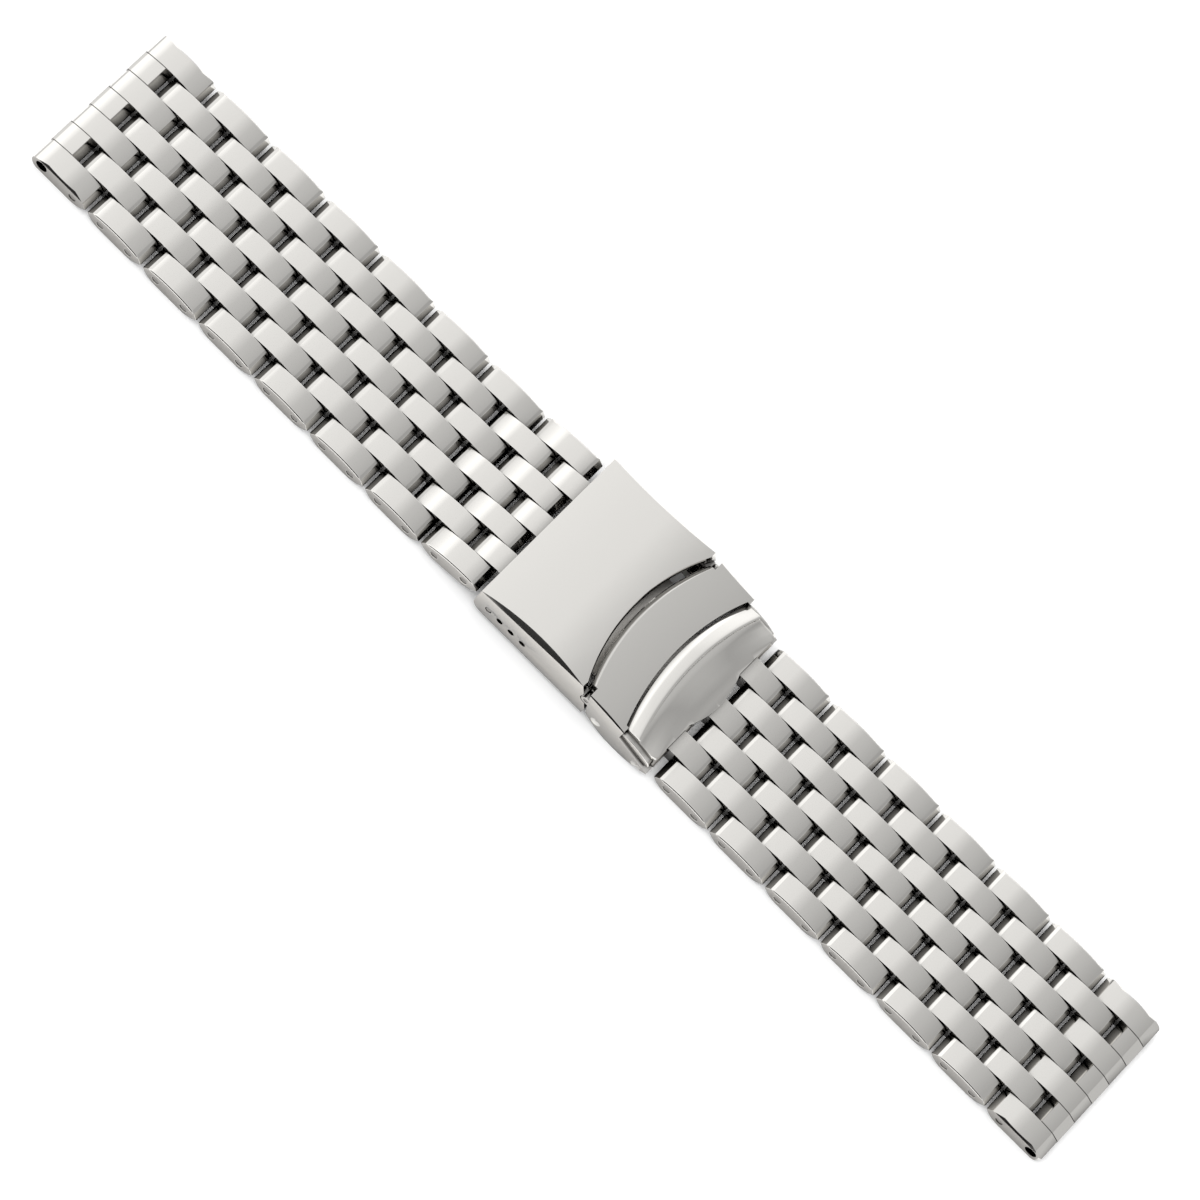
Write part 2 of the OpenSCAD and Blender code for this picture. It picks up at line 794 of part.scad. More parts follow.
// Side outline of a rim of the lip, beside the cheek
module rim_outline() {
    polygon([[crest_x - lip_round, rim_low + blade_gap], [crest_x - lip_round, rim_z],
             [lip_straight, lip_tip_z], [lip_straight, rim_low]]);
}

clasp_cover();
catch_clip();
cover_hinge_pin();
latch_rivets();
spring_bar_tube();
spring_bar_tips();
spring_bar_spring();
upper_blade();
blade_hinge_pin();
lower_blade();
catch_stud();
end_hinge_pin();
safety_latch();
thumb_lip();
left_end_link();
left_end_pin();
right_end_link();
right_end_pin();
for (i = [1:left_rows]) {
    left_outer_links(i);
    left_pins(i);
}
for (i = [1:left_rows + 1])
    left_inner_links(i);
for (i = [1:right_rows]) {
    right_outer_links(i);
    right_pins(i);
}
for (i = [1:right_rows + 1])
    right_inner_links(i);
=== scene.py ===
"""Link watch bracelet lying flat, with a fold-over clasp and a curved safety latch."""

import math

import bpy
from mathutils import Matrix, Vector
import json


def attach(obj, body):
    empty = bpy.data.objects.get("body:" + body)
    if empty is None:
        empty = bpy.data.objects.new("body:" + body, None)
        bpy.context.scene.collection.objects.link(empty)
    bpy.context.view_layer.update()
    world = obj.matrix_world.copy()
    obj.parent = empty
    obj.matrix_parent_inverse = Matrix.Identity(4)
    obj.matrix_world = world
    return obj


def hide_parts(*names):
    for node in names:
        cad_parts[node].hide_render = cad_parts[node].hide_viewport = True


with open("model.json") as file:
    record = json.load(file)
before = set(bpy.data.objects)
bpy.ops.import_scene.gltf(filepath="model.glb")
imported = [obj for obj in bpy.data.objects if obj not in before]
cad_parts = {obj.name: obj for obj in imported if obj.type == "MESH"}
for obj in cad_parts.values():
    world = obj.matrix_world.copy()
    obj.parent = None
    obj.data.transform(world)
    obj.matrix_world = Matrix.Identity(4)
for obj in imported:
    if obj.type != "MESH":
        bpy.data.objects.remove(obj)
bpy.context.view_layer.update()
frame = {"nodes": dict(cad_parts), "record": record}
bpy.ops.object.select_all(action="DESELECT")

MM = 0.001
# Points closer than this, in millimetres, are merged
MERGE = 0.002

# Sizes of the band, in millimetres, as the solids have them
PITCH = 9.7
HINGE_STEP = PITCH / 2
COLUMNS = 7
COLUMN_W = 24.0 / COLUMNS
COLUMN_GAP = 0.1
LINK_H = 3.0
NOSE_REACH = 2.25
HALF_LINK = HINGE_STEP / 2 + NOSE_REACH
NOSE_LEN = 0.62
TIP_Z = 1.5
EDGE_Z = 2.3
CROWN_R = 15.0
# The crown's arch has its centre here, and it is drawn in this many steps
CROWN_CENTRE = LINK_H - CROWN_R
CROWN_STEPS = 24
NOSE_SLOPE = NOSE_LEN / (EDGE_Z - TIP_Z)
HEEL_STEPS = 12
# A narrow facet between the crown and each nose
FACET_W = 0.36
FACET_TILT = math.radians(21.0)
SOLE = 2.0
PIN_Z = 1.25
PIN_HOLE_R = 0.58
LEFT_ROWS = 7
RIGHT_ROWS = 6
END_REACH = 7.0
CLIMB = (9.0, 10.0, 6.0)
ADJUST_X = 2.2
ARCH_X = 13.0
ARCH_R = 56.0
COVER_Z = 8.0
END_HINGE_X = 28.6


def hinge(k):
    """Place of hinge k of the left half, counted from the end link, before centring."""
    if k == 0:
        return END_REACH, PIN_Z
    x, z = hinge(k - 1)
    tilt = math.radians(left_tilt(k))
    return x + HINGE_STEP * math.cos(tilt), z + HINGE_STEP * math.sin(tilt)


def left_tilt(k):
    first_climber = 2 * LEFT_ROWS + 1 - len(CLIMB) + 1
    return 0.0 if k < first_climber else CLIMB[k - first_climber]


COVER_X = hinge(2 * LEFT_ROWS + 1)[0] - ADJUST_X
TOTAL = COVER_X + END_HINGE_X + (2 * RIGHT_ROWS + 1) * HINGE_STEP + END_REACH
ORIGIN_X = TOTAL / 2


# ---- Camera ----

TILT = math.radians(22.0)
ROLL = math.radians(44.9)
LENS = 200.0
SENSOR = 36.0
FRAME_WIDTH = 0.1496
AIM_X = 0.45 * MM
AIM_UP = 0.27 * MM


def add_camera():
    """A long lens, tilted a little towards the front side and rolled by an eighth of a turn."""
    forward = Vector((0.0, math.sin(TILT), -math.cos(TILT)))
    level = Vector((1.0, 0.0, 0.0))
    upright = Vector((0.0, math.cos(TILT), math.sin(TILT)))
    right = math.cos(ROLL) * level + math.sin(ROLL) * upright
    up = -math.sin(ROLL) * level + math.cos(ROLL) * upright
    aim = AIM_X * level + AIM_UP * upright
    place = aim - forward * (FRAME_WIDTH * LENS / SENSOR)
    turn = Matrix((right, up, -forward)).transposed()
    bpy.ops.object.camera_add(location=place, rotation=turn.to_euler())
    camera = bpy.context.object
    camera.name = "camera"
    camera.data.lens = LENS
    camera.data.sensor_width = SENSOR
    camera.data.clip_start = 0.01
    bpy.context.scene.camera = camera


add_camera()
bpy.context.scene.view_settings.view_transform = "Standard"


# ---- Materials ----


def srgb(code):
    """A hex colour as linear RGBA."""
    parts = [int(code[i : i + 2], 16) / 255 for i in (1, 3, 5)]
    return [c / 12.92 if c <= 0.04045 else ((c + 0.055) / 1.055) ** 2.4 for c in parts] + [1.0]


def add_node(tree, kind, settings=(), values=(), links=()):
    """A node with its settings, socket values and links from other nodes' sockets."""
    node = tree.nodes.new(kind)
    for key, value in dict(settings).items():
        setattr(node, key, value)
    for key, value in dict(values).items():
        node.inputs[key].default_value = value
    for key, socket in dict(links).items():
        tree.links.new(socket, node.inputs[key])
    return node


def set_stops(ramp, stops):
    """Gives a colour ramp its stops, each one a position and a linear colour."""
    while len(ramp.elements) > 1:
        ramp.elements.remove(ramp.elements[-1])
    ramp.elements[0].position, ramp.elements[0].color = stops[0]
    for position, colour in stops[1:]:
        ramp.elements.new(position).color = colour


def new_material(name):
    material = bpy.data.materials.new(name)
    material.use_nodes = True
    return material, material.node_tree, material.node_tree.nodes["Principled BSDF"]


def paint_occlusion_shade(tree, shader, distance, deep, open_face):
    """Painted shade: a base colour that runs from dark in deep places to bright on open faces,
    within a distance in millimetres.
    """
    reach = add_node(
        tree, "ShaderNodeAmbientOcclusion", settings={"samples": 8},
        values={"Distance": distance * MM},
    )
    painted_shade_ramp = add_node(tree, "ShaderNodeValToRGB", links={"Fac": reach.outputs["AO"]})
    set_stops(painted_shade_ramp.color_ramp, (deep, open_face))
    tree.links.new(painted_shade_ramp.outputs["Color"], shader.inputs["Base Color"])


def polished_stainless():
    """Buffed 316L steel: a warm grey mirror, with the slight waviness that buffing leaves."""
    material, tree, shader = new_material("mirror_polished_stainless_steel")
    shader.inputs["Metallic"].default_value = 1.0
    shader.inputs["Roughness"].default_value = 0.07
    # Painted shade: the base colour darkens in the gaps between parts, where shade falls
    paint_occlusion_shade(tree, shader, 3.5, (0.25, srgb("#3C3A38")), (0.9, srgb("#E3E1DD")))
    place = add_node(tree, "ShaderNodeTexCoord")
    # Waves about 4 mm long and a few hundredths of a millimetre deep
    waves = add_node(
        tree, "ShaderNodeTexNoise", values={"Scale": 1 / (4 * MM), "Detail": 1.0},
        links={"Vector": place.outputs["Object"]},
    )
    bump = add_node(
        tree, "ShaderNodeBump", values={"Strength": 0.35, "Distance": 0.05 * MM},
        links={"Height": waves.outputs["Fac"]},
    )
    tree.links.new(bump.outputs["Normal"], shader.inputs["Normal"])
    return material


def satin_sides_painted_shade():
    """The outer sides, satin from a flat belt: duller than the tops, with painted shade that makes
    them darker and darkest at the foot.
    """
    material, tree, shader = new_material("satin_steel_sides_painted_shade")
    shader.inputs["Metallic"].default_value = 1.0
    shader.inputs["Roughness"].default_value = 0.24
    # Painted shade: darker than the tops, and darker still towards the foot
    paint_occlusion_shade(tree, shader, 10.0, (0.5, srgb("#827F7B")), (0.95, srgb("#C6C3BE")))
    return material


def brushed_stainless():
    """Stamped blade steel, brushed lengthwise: fine scratches along the band."""
    material, tree, shader = new_material("brushed_stainless_steel")
    shader.inputs["Base Color"].default_value = srgb("#D2CFCA")
    shader.inputs["Metallic"].default_value = 1.0
    shader.inputs["Roughness"].default_value = 0.28
    place = add_node(tree, "ShaderNodeTexCoord")
    # Scratches about 0.08 mm apart and 6 mm long
    stretch = add_node(
        tree, "ShaderNodeMapping", values={"Scale": (0.013, 1.0, 1.0)},
        links={"Vector": place.outputs["Object"]},
    )
    lines = add_node(
        tree, "ShaderNodeTexNoise", values={"Scale": 1 / (0.16 * MM), "Detail": 2.0},
        links={"Vector": stretch.outputs["Vector"]},
    )
    bump = add_node(
        tree, "ShaderNodeBump", values={"Strength": 0.5, "Distance": 0.01 * MM},
        links={"Height": lines.outputs["Fac"]},
    )
    tree.links.new(bump.outputs["Normal"], shader.inputs["Normal"])
    return material


def ground_pin_steel():
    """Centreless-ground pin wire: a plain bright grey, with painted shade on the ends."""
    material, tree, shader = new_material("ground_pin_steel")
    shader.inputs["Metallic"].default_value = 1.0
    shader.inputs["Roughness"].default_value = 0.16
    # The pins lie across the band, so their ends face along Y
    facing = add_node(tree, "ShaderNodeTexCoord")
    axes = add_node(tree, "ShaderNodeSeparateXYZ", links={"Vector": facing.outputs["Normal"]})
    across = add_node(
        tree, "ShaderNodeMath", settings={"operation": "ABSOLUTE"}, links={0: axes.outputs["Y"]},
    )
    # Painted shade: faces along Y, the cut ends, get a darker base colour than the sides
    painted_shade_ramp = add_node(tree, "ShaderNodeValToRGB", links={"Fac": across.outputs[0]})
    set_stops(painted_shade_ramp.color_ramp, ((0.6, srgb("#F0EFEE")), (0.9, srgb("#7E7B77"))))
    tree.links.new(painted_shade_ramp.outputs["Color"], shader.inputs["Base Color"])
    return material


def white_paper():
    """Seamless white backdrop paper, matt and bright enough to show as white."""
    material, _, shader = new_material("white_backdrop_paper")
    shader.inputs["Base Color"].default_value = srgb("#FCFCFC")
    shader.inputs["Roughness"].default_value = 1.0
    shader.inputs["Specular IOR Level"].default_value = 0.0
    return material


STEEL = polished_stainless()
SATIN_AND_SHADE = satin_sides_painted_shade()
BRUSHED = brushed_stainless()
PIN_STEEL = ground_pin_steel()


# ---- Links ----


def crown_z(x):
    """Height of the crown at x from the link's middle."""
    return CROWN_CENTRE + math.sqrt(CROWN_R**2 - x**2)


def crown_end():
    """The right end of the crown, a facet's width before it would meet the nose."""
    x = HALF_LINK - NOSE_LEN
    # Each step comes nearer to the point where the arch and the nose's slope cross
    for _ in range(20):
        x = HALF_LINK - NOSE_SLOPE * (crown_z(x) - TIP_Z)
    return x - FACET_W, crown_z(x - FACET_W)


def link_profile():
    """Side outline of a link, counter-clockwise, in millimetres with its middle at X = 0."""
    reach = HALF_LINK - SOLE
    heel_r = (reach * reach + TIP_Z * TIP_Z) / (2 * TIP_Z)
    heel_turn = math.asin(reach / heel_r)
    right = []
    for i in range(HEEL_STEPS + 1):
        angle = heel_turn * i / HEEL_STEPS
        right.append((SOLE + heel_r * math.sin(angle), heel_r * (1 - math.cos(angle))))
    end_x, end_z = crown_end()
    # The facet runs down from the crown until it meets the nose
    gap = HALF_LINK - NOSE_SLOPE * (end_z - TIP_Z) - end_x
    run = gap / (1 - NOSE_SLOPE * math.tan(FACET_TILT))
    brow_x, brow_z = end_x + run, end_z - run * math.tan(FACET_TILT)
    crown_turn = math.asin(end_x / CROWN_R)
    top = [(brow_x, brow_z)]
    for i in range(CROWN_STEPS + 1):
        angle = crown_turn * (1 - 2 * i / CROWN_STEPS)
        top.append((CROWN_R * math.sin(angle), CROWN_CENTRE + CROWN_R * math.cos(angle)))
    top.append((-brow_x, brow_z))
    left = [(-x, z) for x, z in reversed(right)]
    return right + top + left


def draw_bar(name, points, y0, y1):
    """A bar of the given side outline: a vertex drawn out point by point, filled and extruded."""
    x, z = points[0]
    bpy.ops.mesh.primitive_plane_add(size=MM, location=(x * MM, y0 * MM, z * MM))
    bar = bpy.context.object
    bar.name = bar.data.name = name
    bpy.ops.object.transform_apply(location=True, rotation=True, scale=True)
    bpy.ops.object.mode_set(mode="EDIT")
    bpy.ops.mesh.select_all(action="SELECT")
    bpy.ops.mesh.merge(type="CENTER")
    for (xa, za), (xb, zb) in zip(points, points[1:]):
        move = ((xb - xa) * MM, 0.0, (zb - za) * MM)
        bpy.ops.mesh.extrude_region_move(TRANSFORM_OT_translate={"value": move})
    bpy.ops.mesh.select_all(action="SELECT")
    bpy.ops.mesh.edge_face_add()
    bpy.ops.mesh.extrude_region_move(TRANSFORM_OT_translate={"value": (0.0, (y1 - y0) * MM, 0.0)})
    bpy.ops.mesh.select_all(action="SELECT")
    bpy.ops.mesh.normals_make_consistent(inside=False)
    bpy.ops.object.mode_set(mode="OBJECT")
    return bar


def only(obj):
    """Makes obj the one selected and active object."""
    bpy.ops.object.select_all(action="DESELECT")
    obj.select_set(True)
    bpy.context.view_layer.objects.active = obj


def apply_modifier(obj, kind, **settings):
    only(obj)
    modifier = obj.modifiers.new(kind.lower(), kind)
    for key, value in settings.items():
        setattr(modifier, key, value)
    bpy.ops.object.modifier_apply(modifier=modifier.name)


DRILL_SIDES = 32


def bore(obj, x, z, radius, length):
    """Cuts a hole across the band."""
    bpy.ops.mesh.primitive_cylinder_add(
        vertices=DRILL_SIDES, radius=radius * MM, depth=length * MM,
        location=(x * MM, 0.0, z * MM), rotation=(math.pi / 2, 0.0, 0.0),
    )
    drill = bpy.context.object
    apply_modifier(obj, "BOOLEAN", operation="DIFFERENCE", object=drill, solver="EXACT")
    bpy.data.objects.remove(drill)


def round_edges(obj, width, angle, segments=2):
    """Eased edges, as tumbling and buffing leave them."""
    apply_modifier(
        obj, "BEVEL", width=width * MM, segments=segments, limit_method="ANGLE",
        angle_limit=math.radians(angle), harden_normals=False, miter_outer="MITER_ARC",
    )
    only(obj)
    bpy.ops.object.shade_smooth_by_angle(angle=math.radians(angle))


# Faces larger than this, in square millimetres, are flat faces and not parts of an eased edge
FLAT_AREA = 0.8
# A face belongs to an arch where its corners are as far from the arch's centre, within this
# many millimetres, and its normal is within 2 degrees of the arch's
ARCH_SLACK = 0.04
ARCH_MATCH = math.cos(math.radians(2.0))


def keep_flat(link):
    """Keeps a link's flat faces flat in the shading, so that only the eased edges look round."""
    mesh = link.data
    normals = [corner.vector.copy() for corner in mesh.corner_normals]
    for face in mesh.polygons:
        if face.area > FLAT_AREA * MM * MM and face.center.z > TIP_Z * MM:
            for corner in face.loop_indices:
                normals[corner] = face.normal.copy()
    mesh.normals_split_custom_set(normals)


def true_arch(piece, x, z):
    """Shades the flat facets of an arch as the true arch, whose centre line is at x and z."""
    centre = Vector((x * MM, 0.0, z * MM))
    mesh = piece.data
    normals = [corner.vector.copy() for corner in mesh.corner_normals]
    for face in mesh.polygons:
        rays = [mesh.vertices[v].co - centre for v in face.vertices]
        rays = [Vector((ray.x, 0.0, ray.z)) for ray in rays]
        lengths = [ray.length for ray in rays]
        middle = face.center - centre
        facing = Vector((middle.x, 0.0, middle.z)).normalized().dot(face.normal)
        if max(lengths) - min(lengths) < ARCH_SLACK * MM and abs(facing) > ARCH_MATCH:
            for corner, ray in zip(face.loop_indices, rays):
                normals[corner] = ray.normalized() * math.copysign(1.0, facing)
    mesh.normals_split_custom_set(normals)


def copy_of(obj, name):
    """A copy with its own mesh."""
    only(obj)
    bpy.ops.object.duplicate(linked=False)
    copy = bpy.context.object
    copy.name = copy.data.name = name
    return copy


def move_mesh(obj, offset, turn_y=0.0):
    """Moves a piece, in millimetres, and turns it about the band's width before that."""
    obj.matrix_world = (
        Matrix.Translation(Vector(offset) * MM) @ Matrix.Rotation(turn_y, 4, "Y") @ obj.matrix_world
    )
    only(obj)
    bpy.ops.object.transform_apply(location=True, rotation=True, scale=True)


def join(pieces, name):
    bpy.ops.object.select_all(action="DESELECT")
    for piece in pieces:
        piece.select_set(True)
    bpy.context.view_layer.objects.active = pieces[0]
    if len(pieces) > 1:
        bpy.ops.object.join()
    whole = bpy.context.object
    whole.name = whole.data.name = name
    return whole


def put_in_order(piece):
    """Lists points and faces by their place, because extruding lists them differently each run."""
    mesh = piece.data
    points = [vertex.co.copy() for vertex in mesh.vertices]
    order = sorted(range(len(points)), key=lambda v: tuple(round(c / MM, 4) for c in points[v]))
    number = {v: i for i, v in enumerate(order)}
    faces = []
    for face in mesh.polygons:
        ring = [number[v] for v in face.vertices]
        # A face with four corners may start at every other one only, which keeps its diagonal
        starts = (0, 2) if len(ring) == 4 else range(len(ring))
        first = min(starts, key=lambda i: ring[i])
        faces.append(ring[first:] + ring[:first])
    mesh.clear_geometry()
    mesh.from_pydata([points[v] for v in order], [], sorted(faces))


def column_y(c):
    return (c - (COLUMNS - 1) / 2) * COLUMN_W


LINK_EASE = 0.07
LINK_EASE_ANGLE = 24
SIDE_BEVEL = 0.17
# A point this near to a plane or a line, in millimetres, lies on it
NEAR = 0.001
# Upright faces this far from the band's middle are its outer sides
SIDE_Y = 11.8
UPRIGHT = 0.99


def draw_link(name):
    """One link with its two pin holes, its middle at the origin."""
    half = (COLUMN_W - COLUMN_GAP) / 2
    link = draw_bar(name, link_profile(), -half, half)
    for side in (-1, 1):
        bore(link, side * HINGE_STEP / 2, PIN_Z, PIN_HOLE_R, COLUMN_W + 1)
    return link


def bevel_outer_side(link, side):
    """The narrow bevel along the outer edge of the crown, on an outer column's link."""
    outer = side * (COLUMN_W - COLUMN_GAP) / 2
    lowest = crown_end()[1]
    only(link)
    bpy.ops.object.mode_set(mode="EDIT")
    bpy.ops.mesh.select_mode(type="EDGE")
    bpy.ops.mesh.select_all(action="DESELECT")
    bpy.ops.object.mode_set(mode="OBJECT")
    for edge in link.data.edges:
        ends = [link.data.vertices[v].co / MM for v in edge.vertices]
        edge.select = all(abs(end.y - outer) < NEAR and end.z > lowest - NEAR for end in ends)
    bpy.ops.object.mode_set(mode="EDIT")
    bpy.ops.mesh.bevel(offset=SIDE_BEVEL * MM, offset_type="OFFSET", segments=1, affect="EDGES")
    bpy.ops.mesh.select_all(action="SELECT")
    bpy.ops.mesh.normals_make_consistent(inside=False)
    bpy.ops.mesh.select_mode(type="VERT")
    bpy.ops.object.mode_set(mode="OBJECT")


def finish_sides(piece):
    """Polished steel all over, with the upright outer sides satin and painted darker for shade."""
    piece.data.materials.clear()
    piece.data.materials.append(STEEL)
    piece.data.materials.append(SATIN_AND_SHADE)
    for face in piece.data.polygons:
        upright = abs(face.normal.y) > UPRIGHT and abs(face.center.y) > SIDE_Y * MM
        face.material_index = 1 if upright else 0


def draw_row(link, columns, name):
    """The links of one row, joined."""
    links = []
    for c in columns:
        piece = copy_of(link, f"{name}_{c}")
        if c in (0, COLUMNS - 1):
            bevel_outer_side(piece, -1 if c == 0 else 1)
        round_edges(piece, LINK_EASE, LINK_EASE_ANGLE)
        keep_flat(piece)
        true_arch(piece, 0.0, CROWN_CENTRE)
        move_mesh(piece, (0, column_y(c), 0))
        links.append(piece)
    return join(links, name)


def place_row(patterns, half, k, x, z, tilt):
    """Row k of one half of the band. x and z are the middle between its hinges."""
    kind = "outer" if k % 2 == 0 else "inner"
    number = (k + 1) // 2
    row = copy_of(patterns[kind], f"{half}_{kind}_row_{number}")
    move_mesh(row, (0, 0, -PIN_Z))
    move_mesh(row, (x - ORIGIN_X, 0, z), -math.radians(tilt))
    finish_sides(row)
    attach(row, f"{half}_{kind}_row_{number}")
    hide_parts(f"{half}_{kind}_links_{number}")


def draw_rows():
    """All rows of links, copied from one outer and one inner pattern."""
    link = draw_link("link_pattern")
    patterns = {
        "outer": draw_row(link, (0, 2, 4, 6), "outer_row_pattern"),
        "inner": draw_row(link, (1, 3, 5), "inner_row_pattern"),
    }
    for k in range(1, 2 * LEFT_ROWS + 2):
        (xa, za), (xb, zb) = hinge(k - 1), hinge(k)
        place_row(patterns, "left", k, (xa + xb) / 2, (za + zb) / 2, left_tilt(k))
    for k in range(1, 2 * RIGHT_ROWS + 2):
        x = COVER_X + END_HINGE_X + (k - 0.5) * HINGE_STEP
        place_row(patterns, "right", k, x, PIN_Z, 0.0)
    for pattern in (link, *patterns.values()):
        bpy.data.objects.remove(pattern)


draw_rows()


# ---- Thumb lip ----

# Everything here is measured from the cover's left end
LIP_AXIS = 60.9
RIDGE_R = 4.9
RIDGE_X = 24.75
RIDGE_Z = 7.0
# The raised ridge is arched across the band, and the hollow behind it flattens out
LIP_ARCH_R = 61.0
LIP_HALF = 11.55
FALL_X = (25.0, 29.0)
# Side outline: the ridge, from its foot to its end, the hollow behind it and the underside
RIDGE_FOOT_X = 22.65
RIDGE_END_X = 24.85
RIDGE_STEPS = 12
LIP_HOLLOW = (
    (24.97, 6.93), (25.02, 6.35), (25.2, 6.22), (26.0, 5.84), (27.0, 5.38), (28.0, 4.93),
    (29.0, 4.5), (30.0, 4.15), (31.4, 3.85),
)
LIP_UNDERSIDE = (
    (31.4, 3.2), (29.5, 3.45), (28.0, 3.8), (26.45, 4.2), (25.2, 5.0), (24.2, 5.6),
    (RIDGE_FOOT_X, 5.6),
)
LIP_TURN = math.radians(20.0)
LIP_TURN_STEPS = 36
# The end of the lip, seen from above: straight at the sides and rounded in the middle
LIP_START = 22.0
LIP_STRAIGHT = 29.9
LIP_END = 30.9
LIP_END_R = 12.0
LIP_END_STEPS = 16
# The block with that outline, which trims the lip, reaches between these heights
LIP_BLOCK_Z = (2.0, 8.0)
LIP_EASE = 0.06
LIP_EASE_ANGLE = 32
# Side outline of the rim at each side of the lip, and its place across the band
RIM = (
    (24.6, 3.7), (29.5, 2.4), (29.86, 2.6), (29.86, 3.2), (29.4, 3.75), (28.6, 4.2), (27.5, 4.65),
    (26.2, 4.95), (25.2, 5.05), (24.6, 4.9),
)
RIM_Y = (11.2, 12.2)
RIM_EASE = 0.15
RIM_EASE_ANGLE = 40


def draw_lip_sheet(offset):
    """The sheet of the lip: its side outline spun about an upright axis, arched and trimmed."""
    ridge = []
    for i in range(RIDGE_STEPS + 1):
        x = RIDGE_FOOT_X + (RIDGE_END_X - RIDGE_FOOT_X) * i / RIDGE_STEPS
        ridge.append((x, RIDGE_Z - RIDGE_R + math.sqrt(RIDGE_R**2 - (RIDGE_X - x) ** 2)))
    outline = ridge + list(LIP_HOLLOW) + list(LIP_UNDERSIDE)
    sheet = draw_bar("lip_sheet", [(x + offset, z) for x, z in outline], 0.0, 1.0)
    bpy.ops.object.mode_set(mode="EDIT")
    # Only the outline halfway along the bar is kept, and it is moved to the middle of the band
    bpy.ops.mesh.select_all(action="SELECT")
    bpy.ops.mesh.bisect(
        plane_co=(0, 0.5 * MM, 0), plane_no=(0, 1, 0), clear_outer=True, clear_inner=True,
    )
    bpy.ops.mesh.select_all(action="SELECT")
    bpy.ops.transform.translate(value=(0.0, -0.5 * MM, 0.0))
    bpy.ops.mesh.spin(
        steps=LIP_TURN_STEPS, angle=LIP_TURN, center=((LIP_AXIS + offset) * MM, 0.0, 0.0),
        axis=(0, 0, 1),
    )
    bpy.ops.object.mode_set(mode="OBJECT")
    apply_modifier(
        sheet, "MIRROR", use_axis=(False, True, False), use_mirror_merge=True,
        merge_threshold=MERGE * MM,
    )
    bpy.ops.object.mode_set(mode="EDIT")
    bpy.ops.mesh.select_all(action="SELECT")
    bpy.ops.mesh.fill_holes(sides=0)
    bpy.ops.mesh.select_all(action="SELECT")
    bpy.ops.mesh.normals_make_consistent(inside=False)
    bpy.ops.object.mode_set(mode="OBJECT")
    arch_lip(sheet, offset)
    trim = draw_lip_plan(offset)
    put_in_order(sheet)
    put_in_order(trim)
    apply_modifier(sheet, "BOOLEAN", operation="INTERSECT", object=trim, solver="EXACT")
    bpy.data.objects.remove(trim)
    return sheet


def arch_lip(sheet, offset):
    """Lets the ridge fall towards both sides, as the arched top of the clasp does."""
    drop = LIP_HALF**2 / (2 * LIP_ARCH_R)
    group = sheet.vertex_groups.new(name="arch")
    for vertex in sheet.data.vertices:
        x, y = vertex.co.x / MM - offset, vertex.co.y / MM
        along = LIP_AXIS - math.hypot(LIP_AXIS - x, y)
        fall = min(1.0, max(0.0, (FALL_X[1] - along) / (FALL_X[1] - FALL_X[0])))
        share = min(1.0, (y / LIP_HALF) ** 2) * fall * fall * (3 - 2 * fall)
        group.add([vertex.index], share, "REPLACE")
    apply_modifier(
        sheet, "DISPLACE", direction="Z", strength=-drop * MM, mid_level=0.0,
        vertex_group="arch",
    )
    sheet.vertex_groups.remove(sheet.vertex_groups["arch"])


def draw_lip_plan(offset):
    """A block with the lip's outline from above."""
    corner = math.sqrt(LIP_END_R**2 - (LIP_STRAIGHT - LIP_END + LIP_END_R) ** 2)
    turn = math.asin(corner / LIP_END_R)
    plan = [(LIP_START, LIP_HALF), (LIP_START, -LIP_HALF), (LIP_STRAIGHT, -LIP_HALF)]
    for i in range(LIP_END_STEPS + 1):
        angle = turn * (2 * i / LIP_END_STEPS - 1)
        x = LIP_END - LIP_END_R + LIP_END_R * math.cos(angle)
        plan.append((x, LIP_END_R * math.sin(angle)))
    plan.append((LIP_STRAIGHT, LIP_HALF))
    # The outline is drawn upright like every bar, then laid flat
    low, high = LIP_BLOCK_Z
    block = draw_bar("lip_plan", [(x + offset, y) for x, y in plan], -high, -low)
    block.data.transform(Matrix.Rotation(math.radians(-90.0), 4, "X"))
    only(block)
    bpy.ops.object.mode_set(mode="EDIT")
    bpy.ops.mesh.select_all(action="SELECT")
    bpy.ops.mesh.normals_make_consistent(inside=False)
    bpy.ops.object.mode_set(mode="OBJECT")
    return block


def draw_lip():
    """The thumb lip: its sheet and the rim at each end, joined."""
    offset = COVER_X - ORIGIN_X
    sheet = draw_lip_sheet(offset)
    rims = []
    for side in (-1, 1):
        y0, y1 = sorted(side * y for y in RIM_Y)
        rim = draw_bar("lip_rim", [(x + offset, z) for x, z in RIM], y0, y1)
        put_in_order(rim)
        round_edges(rim, RIM_EASE, RIM_EASE_ANGLE, segments=3)
        rims.append(rim)
    round_edges(sheet, LIP_EASE, LIP_EASE_ANGLE)
    lip = join([sheet] + rims, "thumb_lip_finished")
    finish_sides(lip)
    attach(lip, "latch")
    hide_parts("thumb_lip")


draw_lip()


# ---- Clasp, end links and pins ----


def body_of_node(node):
    """The body that carries a CAD node, as the record says."""
    for body, nodes in frame["record"]["behaviour"]["bodies"].items():
        if node in nodes:
            return body
    raise KeyError(node)


# Faces that differ by less than this many degrees are merged into one
SAME_PLANE = 0.05


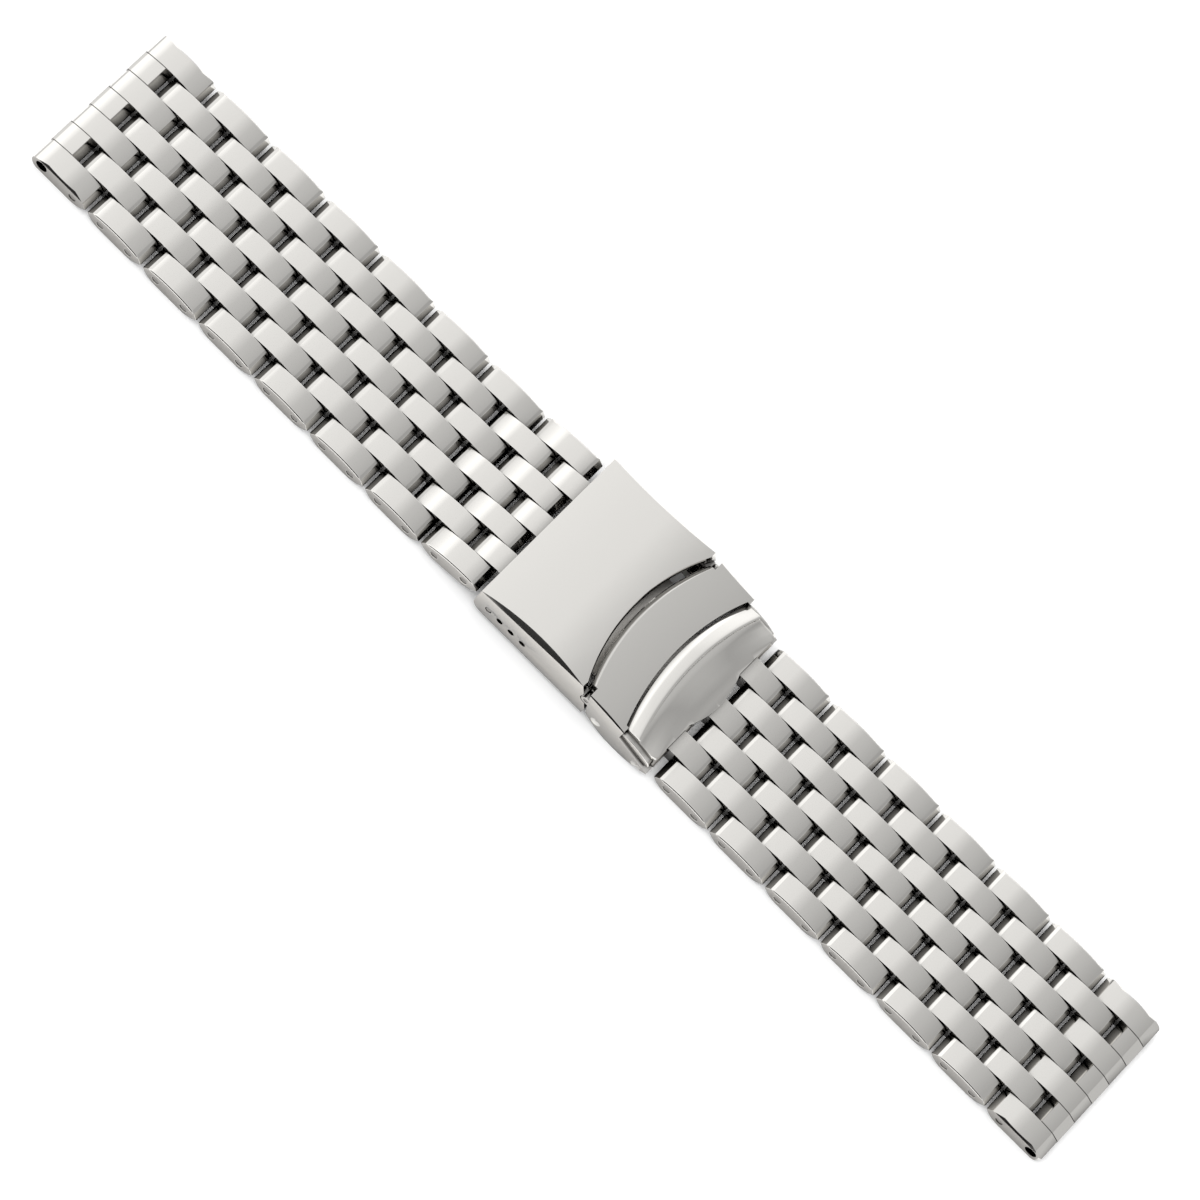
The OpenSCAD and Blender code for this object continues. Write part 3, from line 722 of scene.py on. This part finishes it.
def ease_node(node, width, angle):
    """A copy of a CAD node with merged faces and eased edges, in its place."""
    piece = copy_of(frame["nodes"][node], f"{node}_finished")
    for key in [key for key in piece.keys() if key.startswith("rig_")]:
        del piece[key]
    piece.parent = None
    only(piece)
    bpy.ops.object.mode_set(mode="EDIT")
    bpy.ops.mesh.select_all(action="SELECT")
    bpy.ops.mesh.remove_doubles(threshold=MERGE * MM)
    bpy.ops.mesh.dissolve_limited(angle_limit=math.radians(SAME_PLANE))
    bpy.ops.object.mode_set(mode="OBJECT")
    round_edges(piece, width, angle)
    finish_sides(piece)
    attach(piece, body_of_node(node))
    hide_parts(node)
    return piece


def finish_node(node, material):
    """Gives a CAD node its material."""
    mesh = frame["nodes"][node].data
    mesh.materials.clear()
    mesh.materials.append(material)


CLASP_EASE = 0.06
CLASP_EASE_ANGLE = 28
# The end links keep the crisp edge of their end face
END_EASE = 0.05
END_EASE_ANGLE = 15
END_CENTRE_X = ORIGIN_X - END_REACH - NOSE_REACH + HALF_LINK

for name in ("clasp_cover", "safety_latch"):
    eased = ease_node(name, CLASP_EASE, CLASP_EASE_ANGLE)
    true_arch(eased, COVER_X + ARCH_X - ORIGIN_X, COVER_Z - ARCH_R)
for name, side in (("left_end_link", -1), ("right_end_link", 1)):
    eased = ease_node(name, END_EASE, END_EASE_ANGLE)
    true_arch(eased, side * END_CENTRE_X, CROWN_CENTRE)
for name in frame["nodes"]:
    if "pin" in name or "spring" in name or "rivet" in name:
        finish_node(name, PIN_STEEL)
    elif "blade" in name or "catch" in name:
        finish_node(name, BRUSHED)


# ---- Floor and light ----

# Sizes here are in metres and powers in watts
FLOOR_SIZE = 6.0
FLOOR_Z = -0.02 * MM
SOFTBOX_SIZE = 1.2


def grey_stops(tones):
    """Ramp stops of plain grey, from pairs of position and brightness."""
    return [(position, (tone, tone, tone, 1.0)) for position, tone in tones]


# Tones of the tent along X from left to right, from the table up, and along Y from the camera's
# side to the back. Along the band it is brightest a little left of overhead
ALONG_TONES = grey_stops((
    (0.0, 1.0), (0.15, 1.1), (0.225, 1.45), (0.245, 1.4), (0.285, 1.02), (0.36, 0.98),
    (0.45, 0.95), (0.5, 0.82), (0.56, 0.67), (0.65, 0.6), (0.745, 0.5), (0.82, 0.46),
    (0.9, 0.7), (1.0, 0.85),
))
HEIGHT_TONES = grey_stops((
    (0.0, 0.25), (0.15, 0.6), (0.3, 0.85), (0.5, 0.93), (0.68, 0.95), (0.8, 1.0), (1.0, 1.0),
))
ACROSS_TONES = grey_stops((
    (0.0, 0.03), (0.09, 0.04), (0.12, 0.7), (0.16, 0.95), (0.25, 1.2), (0.45, 1.1),
    (0.55, 1.0), (0.72, 1.0), (0.85, 1.4), (1.0, 1.4),
))


def add_floor():
    """The table, a hair under the bracelet."""
    bpy.ops.mesh.primitive_plane_add(size=FLOOR_SIZE, location=(0, 0, FLOOR_Z))
    floor = bpy.context.object
    floor.name = "floor"
    floor.data.materials.append(white_paper())


def add_softbox(name, place, power):
    """A large lamp that faces the bracelet. It lights the scene and isn't itself mirrored."""
    turn = (-Vector(place)).to_track_quat("-Z", "Y").to_euler()
    bpy.ops.object.light_add(type="AREA", location=place, rotation=turn)
    lamp = bpy.context.object
    lamp.name = name
    lamp.data.shape = "SQUARE"
    lamp.data.size = SOFTBOX_SIZE
    lamp.data.energy = power
    lamp.visible_glossy = False


def add_world():
    """A white tent, greyer towards the right and the table, with a dark gap low down in front."""
    world = bpy.data.worlds.new("studio")
    bpy.context.scene.world = world
    world.use_nodes = True
    tree = world.node_tree
    back = tree.nodes["Background"]
    way = add_node(tree, "ShaderNodeTexCoord")
    axes = add_node(tree, "ShaderNodeSeparateXYZ", links={"Vector": way.outputs["Generated"]})
    # X and Y run from -1 to 1, and a ramp reads 0 to 1
    from_left = add_node(
        tree, "ShaderNodeMapRange", values={"From Min": -1.0, "From Max": 1.0},
        links={"Value": axes.outputs["X"]},
    )
    from_front = add_node(
        tree, "ShaderNodeMapRange", values={"From Min": -1.0, "From Max": 1.0},
        links={"Value": axes.outputs["Y"]},
    )
    along = add_node(tree, "ShaderNodeValToRGB", links={"Fac": from_left.outputs["Result"]})
    set_stops(along.color_ramp, ALONG_TONES)
    height = add_node(tree, "ShaderNodeValToRGB", links={"Fac": axes.outputs["Z"]})
    set_stops(height.color_ramp, HEIGHT_TONES)
    across = add_node(tree, "ShaderNodeValToRGB", links={"Fac": from_front.outputs["Result"]})
    set_stops(across.color_ramp, ACROSS_TONES)
    tone = add_node(
        tree, "ShaderNodeMath", settings={"operation": "MULTIPLY"},
        links={0: along.outputs["Color"], 1: height.outputs["Color"]},
    )
    tone = add_node(
        tree, "ShaderNodeMath", settings={"operation": "MULTIPLY"},
        links={0: tone.outputs[0], 1: across.outputs["Color"]},
    )
    tree.links.new(tone.outputs[0], back.inputs["Color"])
    back.inputs["Strength"].default_value = 1.0


add_floor()
add_world()
add_softbox("rear_softbox", (0.05, 0.45, 1.0), 3.0)
add_softbox("front_softbox", (-0.1, -0.5, 1.0), 8.5)
